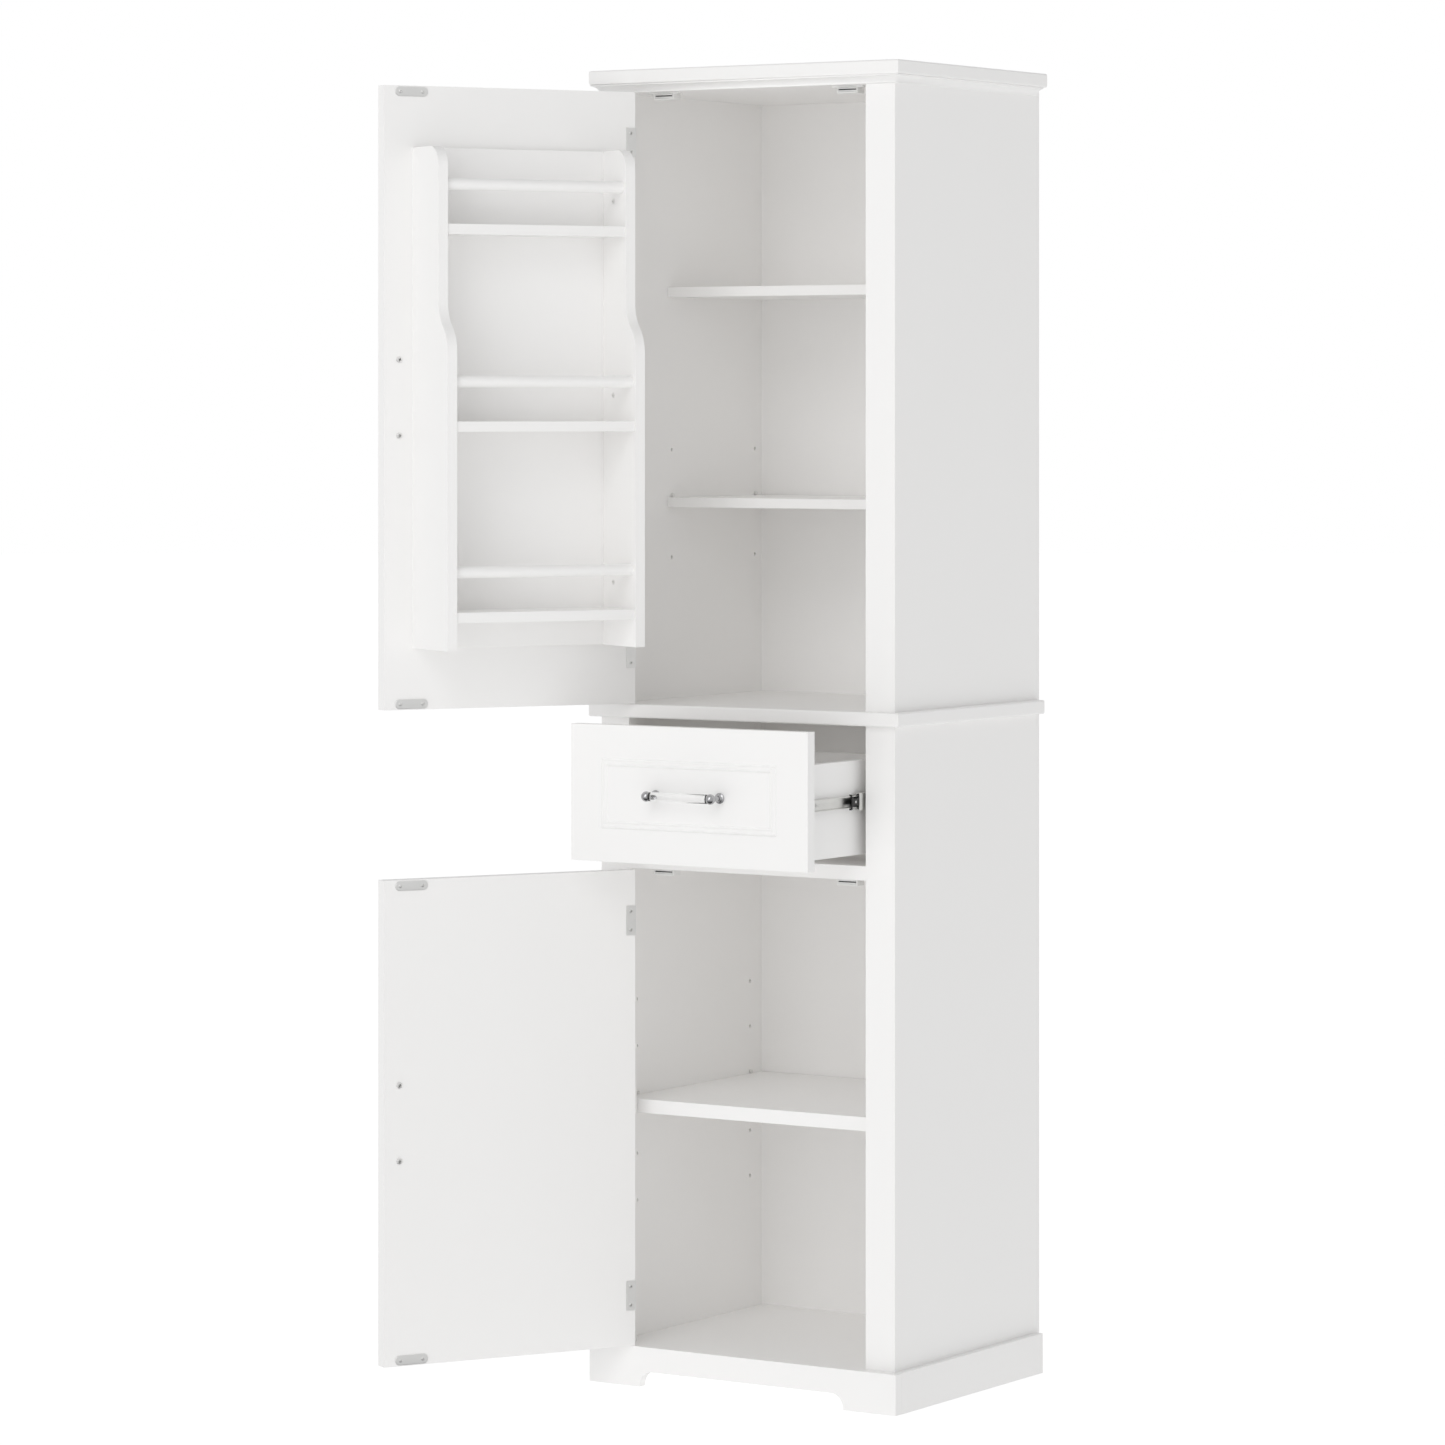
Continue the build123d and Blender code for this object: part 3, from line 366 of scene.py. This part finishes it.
def screw_shape(head_radius, head_height, shaft_radius, length):
    """A screw along Z with its head's seat at 0: a low dome, or countersunk where the head has no height."""
    point = 1.5 * shaft_radius
    profile = [(0, -length), (shaft_radius * 0.2, -length), (shaft_radius, point - length)]
    rim = 0.12 * head_radius
    if head_height:
        profile += [(shaft_radius, 0), (head_radius - rim, 0)]
        profile += arc((head_radius - rim, rim), rim, -90, 20, 4)
        crown = [(radius, height) for radius, height in
                 arc((0, head_height - 2.2 * head_radius), 2.2 * head_radius, 64, 90, 8) if height > 2 * rim]
        profile += [point for point in crown if point[0] < head_radius - rim][:-1]
        top = head_height
    else:
        sink = head_radius - shaft_radius
        profile += [(shaft_radius, -sink), (head_radius, -rim / 2), (head_radius - rim / 2, 0)]
        top = 0
    profile.append((0, top))
    arm, half = RECESS_ARM * head_radius, RECESS_WIDTH * head_radius
    quarter = [(arm, -half), (arm, half), (half, half)]
    outline = []
    for turn in range(4):
        cosine, sine = ((1, 0), (0, 1), (-1, 0), (0, -1))[turn]
        outline += [(x * cosine - y * sine, x * sine + y * cosine) for x, y in quarter]
    cross = prism(outline, top - 0.9 * head_radius, top + rim, top_scale=1.0)
    for corner in cross.verts:
        if corner.co.z < top:
            corner.co.x *= 0.45
            corner.co.y *= 0.45
    return cut(lathe(profile, 32), cross)


def read_screw(points, axes):
    """A CAD screw's place as a matrix on its head's seat, and its sizes: head, height, shaft and length."""
    centre = middle(points)
    axis = min(axes, key=lambda axis: max(off_axis(point, centre, axis) for point in points))
    widest = max(off_axis(point, centre, axis) for point in points)
    rim = [point for point in points if off_axis(point, centre, axis) > 0.95 * widest]
    if (middle(rim) - centre).dot(axis) < 0:
        axis = -axis
    low, high = reach(points, axis)
    seat, top = reach(rim, axis)
    tip = [point for point in points if point.dot(axis) < low + 0.01 * MM]
    shaft = max(off_axis(point, centre, axis) for point in tip)
    across = next(other for other in axes if abs(other.dot(axis)) < 0.5)
    origin = centre + axis * (seat - centre.dot(axis))
    sizes = tuple(round(size, 5) for size in (widest, top - seat, shaft, seat - low))
    return sizes, stand(origin, axis, across)


def screws(node, body, axes, slot="nickel"):
    """Screws with cross recesses in place of a CAD node's plain ones, each turned a little differently."""
    kinds = {}
    for number, points in enumerate(islands(node)):
        sizes, place = read_screw(points, axes)
        kinds.setdefault(sizes, []).append(place @ Matrix.Rotation(SCREW_TURN * number, 4, "Z"))
    together = merged([placed(screw_shape(*sizes), places) for sizes, places in kinds.items()])
    show(together, f"{node}_detailed", slot, body, (node,))


SCREW_TURN = math.radians(67)
screws("cabinet_screws", "cabinet", CABINET_AXES)
screws("upper_door_screws", "upper_door", DOOR_AXES)
screws("lower_door_screws", "lower_door", DOOR_AXES)
screws("rack_screws", "upper_door", DOOR_AXES)
screws("drawer_screws", "drawer", CABINET_AXES)


# ---- Handles -----------------------------------------------------------------------------------------
BALL_RADIUS = 6.6 * MM
BALL_FLAT = 4.8 * MM  # from a ball's centre to the flat that the rod meets
POST_RADIUS = 3.4 * MM
BASE_RADIUS = 6.8 * MM


def mount_shape(stand_off):
    """A handle's mount along Z: a turned foot, a waisted post and a ball with a flat towards +X."""
    profile = [(0, 0), (BASE_RADIUS - 0.3 * MM, 0)]
    profile += arc((BASE_RADIUS - 0.9 * MM, 0.9 * MM), 0.9 * MM, -20, 80, 6)
    profile += arc((BASE_RADIUS - 0.4 * MM, 4.9 * MM), 3.1 * MM, 255, 190, 8)
    profile += [(POST_RADIUS, 5.2 * MM), (POST_RADIUS, stand_off - BALL_RADIUS - 0.2 * MM)]
    neck = math.degrees(math.asin(math.sqrt(1 - (POST_RADIUS / BALL_RADIUS) ** 2)))
    profile += arc((0, stand_off), BALL_RADIUS, -neck, 90, 24)[:-1]
    profile.append((0, stand_off + BALL_RADIUS))
    cutter = prism([(BALL_FLAT, -BALL_RADIUS), (2 * BALL_RADIUS, -BALL_RADIUS),
                    (2 * BALL_RADIUS, BALL_RADIUS), (BALL_FLAT, BALL_RADIUS)],
                   stand_off - BALL_RADIUS, stand_off + 1.5 * BALL_RADIUS)
    return cut(lathe(profile, 64), cutter)


def rod_shape(radius, length):
    """A clear rod along Z with polished, slightly rounded ends."""
    edge = 0.35 * MM
    profile = [(0, -length / 2)] + arc((radius - edge, edge - length / 2), edge, -90, 0, 4)
    profile += arc((radius - edge, length / 2 - edge), edge, 0, 90, 4) + [(0, length / 2)]
    return lathe(profile, 64)


def handle(prefix, body, outwards, along):
    """A handle whose rod lies along a direction; outwards points away from its front."""
    rod = islands(f"{prefix}_handle_rod")[0]
    centre = middle(rod)
    radius = max(off_axis(point, centre, along) for point in rod)
    low, high = reach(rod, along)
    foot, _ = reach([point for solid in islands(f"{prefix}_handle_mounts") for point in solid], outwards)
    stand_off = centre.dot(outwards) - foot
    half_spacing = (high - low) / 2 + BALL_FLAT
    places = [stand(centre - outwards * stand_off + along * side * half_spacing, outwards, -side * along)
              for side in (-1, 1)]
    show(placed(mount_shape(stand_off), places), f"{prefix}_handle_mounts_turned", "chrome", body,
         (f"{prefix}_handle_mounts",))
    show(placed(rod_shape(radius, high - low), [stand(centre, along, outwards)]),
         f"{prefix}_handle_rod_clear", "clear_acrylic", body, (f"{prefix}_handle_rod",))


handle("upper_door", "upper_door", -door_inwards, UP)
handle("lower_door", "lower_door", -door_inwards, UP)
handle("drawer", "drawer", Vector((0, -1, 0)), Vector((1, 0, 0)))


# ---- Strike plates -----------------------------------------------------------------------------------
def rounded_outline(length, width, radius, steps=8):
    """A rounded rectangle's outline about the origin."""
    outline = []
    for quarter, (x, y) in enumerate(((1, 1), (-1, 1), (-1, -1), (1, -1))):
        centre = (x * (length / 2 - radius), y * (width / 2 - radius))
        outline += arc(centre, radius, 90 * quarter, 90 * quarter + 90, steps)
    return outline


def strike_plates(prefix):
    """The pressed plates on a door's inner face, with rolled rims."""
    node = f"{prefix}_strike_plates"
    places = []
    for solid in islands(node):
        low, high = reach(solid, door_inwards)
        left, right = reach(solid, door_along)
        bottom, top = reach(solid, UP)
        origin = door_along * (left + right) / 2 + UP * (bottom + top) / 2 + door_inwards * low
        places.append(stand(origin, door_inwards, door_along))
    plate = prism(rounded_outline(right - left, top - bottom, 0.48 * (top - bottom)), 0, high - low)
    rim = [edge for edge in plate.edges if all(corner.co.z > 0.5 * (high - low) for corner in edge.verts)]
    bmesh.ops.bevel(plate, geom=rim, offset=0.5 * MM, segments=4, profile=0.5, affect="EDGES")
    show(placed(plate, places), f"{node}_pressed", "nickel", prefix, (node,))


strike_plates("upper_door")
strike_plates("lower_door")


# ---- Catches -------------------------------------------------------------------------------------------
def middle_of_box(points):
    """The centre of the points' box, along the cabinet's axes."""
    return sum((axis * sum(reach(points, axis)) / 2 for axis in CABINET_AXES), Vector())


def bar(points, edge):
    """A box round the points, along the cabinet's axes, with rounded edges."""
    size = Vector([reach(points, axis)[1] - reach(points, axis)[0] for axis in CABINET_AXES])
    shape = bmesh.new()
    place = Matrix.Translation(middle_of_box(points)) @ Matrix.Diagonal((*size, 1))
    bmesh.ops.create_cube(shape, matrix=place)
    round_edges(shape, edge)
    return shape


POLE_LIMIT = 2 * MM  # the pole plates are thinner than this, and the magnets thicker
POLE_GROWTH = 0.8 * MM  # how far a pole plate's rolled edge reaches over the magnet
POLE_EDGE = 0.2 * MM
MAGNET_EDGE = 0.1 * MM


def catch_faces():
    """The catches' plated pole plates, and the dark line of the magnet that lies back between them."""
    solids = islands("catch_magnets")
    poles = [solid for solid in solids if reach(solid, UP)[1] - reach(solid, UP)[0] < POLE_LIMIT]
    magnets = [solid for solid in solids if solid not in poles]
    magnet_centres = [middle_of_box(magnet) for magnet in magnets]
    plates = []
    for pole in poles:
        centre = middle_of_box(pole)
        nearest = min(magnet_centres, key=lambda place: (place - centre).length)
        growth = UP * math.copysign(POLE_GROWTH, nearest.z - centre.z)
        plates.append(bar(pole + [point + growth for point in pole], POLE_EDGE))
    show(merged(plates), "catch_pole_plates", "nickel", "cabinet", ("catch_magnets",))
    lines = []
    for magnet in magnets:
        centre = middle_of_box(magnet)
        half = reach(magnet, UP)[1] - centre.z
        uncovered = (half - POLE_GROWTH) / half
        line = [point - UP * (point.z - centre.z) * (1 - uncovered) for point in magnet]
        lines.append(bar(line, MAGNET_EDGE))
    show(merged(lines), "catch_ferrites", "black_plastic", "cabinet", ("catch_magnets",))


catch_faces()


# ---- Bumpers of the slides -----------------------------------------------------------------------------
def bowed(start, end, sag, steps=8):
    """Points from start up to end, on a curve that stands off the straight line by sag, to its left."""
    start, end = Vector(start), Vector(end)
    along = end - start
    left = Vector((-along.y, along.x)).normalized()
    bend = (start + end) / 2 + left * 2 * sag
    return [start * (1 - t) ** 2 + bend * 2 * t * (1 - t) + end * t ** 2 for t in
            (step / steps for step in range(steps))]


BUMPER_PLATE = 1.3 * MM
WING_FOOT = 7.9 * MM  # from a slide's middle line to the wings' inner sides
WING_INNER = 0.45  # where a wing's inner side starts, over half the bumper's length
WING_OUTER = 0.94  # and where it ends
WING_LAP = 0.2 * MM  # how far the wings reach into the plate
END_SAG = 0.25  # how deep the plate's upright ends curve in, over half its length
WAIST_SAG = 0.6  # how deep its long sides curve in, over half its height
RIVET_RADIUS = 1.7 * MM


def bumpers():
    """The black bow-tie bumpers at the front of the middle members, each with a rivet at its waist."""
    plates = []
    places = []
    for solid in islands("slide_bumpers"):
        centre = middle_of_box(solid)
        inner, outer = sorted(abs(side) for side in reach(solid, CABINET_AXES[0]))
        rear, top = (max(reach(solid, axis)) - centre.dot(axis) for axis in CABINET_AXES[1:])
        hand = math.copysign(1, centre.x)
        place = stand(Vector((hand * outer, centre.y, centre.z)), Vector((hand, 0, 0)), CABINET_AXES[1])
        places.append(place)
        corners = ((rear, -top), (rear, top), (-rear, top), (-rear, -top))
        sags = (END_SAG * rear, WAIST_SAG * top, END_SAG * rear, WAIST_SAG * top)
        outline = []
        for index, sag in enumerate(sags):
            outline += bowed(corners[index], corners[(index + 1) % 4], sag)
        shapes = [prism(outline, -BUMPER_PLATE, 0)]
        for x, y in corners:
            foot = math.copysign(WING_FOOT, y)
            wing = [(x, y), (WING_INNER * x, foot), (WING_OUTER * x, foot)]
            shapes.append(prism(wing, inner - outer, -WING_LAP))
        plates.append(placed(merged(shapes), [place]))
    show(merged(plates), "slide_bumpers_bowed", "black_plastic", "slide_middles", ("slide_bumpers",))
    shank = 0.6 * RIVET_RADIUS
    dome = [(0, -BUMPER_PLATE), (shank, -BUMPER_PLATE), (shank, 0), (RIVET_RADIUS, 0)]
    dome += arc((0, -RIVET_RADIUS), 1.42 * RIVET_RADIUS, 52, 90, 6)[:-1] + [(0, 0.42 * RIVET_RADIUS)]
    show(placed(lathe(dome, 32), places), "slide_bumper_rivets", "nickel", "slide_middles")


bumpers()


# ---- Stage -----------------------------------------------------------------------------------------
def floor(floor_glow):
    """A plain white floor that glows a little, as a lit sweep of paper does."""
    bpy.ops.mesh.primitive_circle_add(vertices=96, radius=40, fill_type="NGON")
    disc = bpy.context.object
    disc.name = "floor"
    material, tree, shader = new_material("floor", (0.3, 0.3, 0.3), 0.7, specular=0.1)
    vary_color(tree, shader, pattern(tree, 2), (0.29, 0.29, 0.29), (0.31, 0.31, 0.31))
    shader.inputs["Emission Color"].default_value = (1, 1, 1, 1)
    shader.inputs["Emission Strength"].default_value = floor_glow
    disc.data.materials.append(material)
    disc.visible_glossy = False


def area_light(name, place, target, width, height, watts):
    light = bpy.data.lights.new(name, "AREA")
    light.shape = "RECTANGLE"
    light.size = width
    light.size_y = height
    light.energy = watts
    lamp = bpy.data.objects.new(name, light)
    lamp.location = place
    lamp.rotation_euler = (Vector(target) - Vector(place)).to_track_quat("-Z", "Y").to_euler()
    bpy.context.scene.collection.objects.link(lamp)


def set_input(tree, socket, value):
    """Gives a socket a number, or links it to another node's output."""
    if isinstance(value, float):
        socket.default_value = value
    else:
        tree.links.new(value, socket)


def surroundings(seen, given, mirrored, mirrored_below=0.12):
    """A white room: how bright it looks, how much light it gives, and how bright its upper part mirrors."""
    world = bpy.data.worlds.new("surroundings")
    bpy.context.scene.world = world
    world.use_nodes = True
    tree = world.node_tree
    background = tree.nodes["Background"]
    background.inputs["Color"].default_value = (1, 1, 1, 1)
    path = tree.nodes.new("ShaderNodeLightPath")
    direction = tree.nodes.new("ShaderNodeTexCoord")
    height = tree.nodes.new("ShaderNodeSeparateXYZ")
    tree.links.new(direction.outputs["Generated"], height.inputs["Vector"])
    room = tree.nodes.new("ShaderNodeMapRange")
    room.inputs["From Min"].default_value = -0.75
    room.inputs["From Max"].default_value = -0.35
    room.inputs["To Min"].default_value = mirrored_below
    room.inputs["To Max"].default_value = mirrored
    tree.links.new(height.outputs["Z"], room.inputs["Value"])
    strength = given
    rays = {"Is Glossy Ray": room.outputs["Result"], "Is Transmission Ray": seen, "Is Camera Ray": seen}
    for ray, value in rays.items():
        choice = tree.nodes.new("ShaderNodeMix")
        tree.links.new(path.outputs[ray], choice.inputs["Factor"])
        set_input(tree, choice.inputs["A"], strength)
        set_input(tree, choice.inputs["B"], value)
        strength = choice.outputs["Result"]
    tree.links.new(strength, background.inputs["Strength"])


def camera():
    data = bpy.data.cameras.new("camera")
    data.sensor_width = 36
    data.lens = 138.1
    data.shift_y = -0.2203
    data.clip_end = 100
    viewer = bpy.data.objects.new("camera", data)
    viewer.location = (3.8255, -6.3208, 1.2676)
    viewer.rotation_euler = (math.radians(90), 0, math.radians(32.954))
    bpy.context.scene.collection.objects.link(viewer)
    bpy.context.scene.camera = viewer


floor(0.82)
surroundings(seen=1.0, given=0.55, mirrored=0.75)
area_light("high", (1.0, -5.0, 4.0), (0, -0.3, 0.85), 3.0, 2.0, 40)
area_light("front", (0.4, -6.0, 1.6), (0, -0.3, 0.85), 3.0, 3.0, 36)
area_light("recess", (0, -0.12, 0.859), (0, -0.12, 0.7), 0.3, 0.12, 0.043)
camera()
bpy.context.scene.view_settings.view_transform = "Standard"
# White walls pass light on many times before it reaches the bottom of a recess.
bpy.context.scene.cycles.max_bounces = 20
bpy.context.scene.cycles.diffuse_bounces = 20
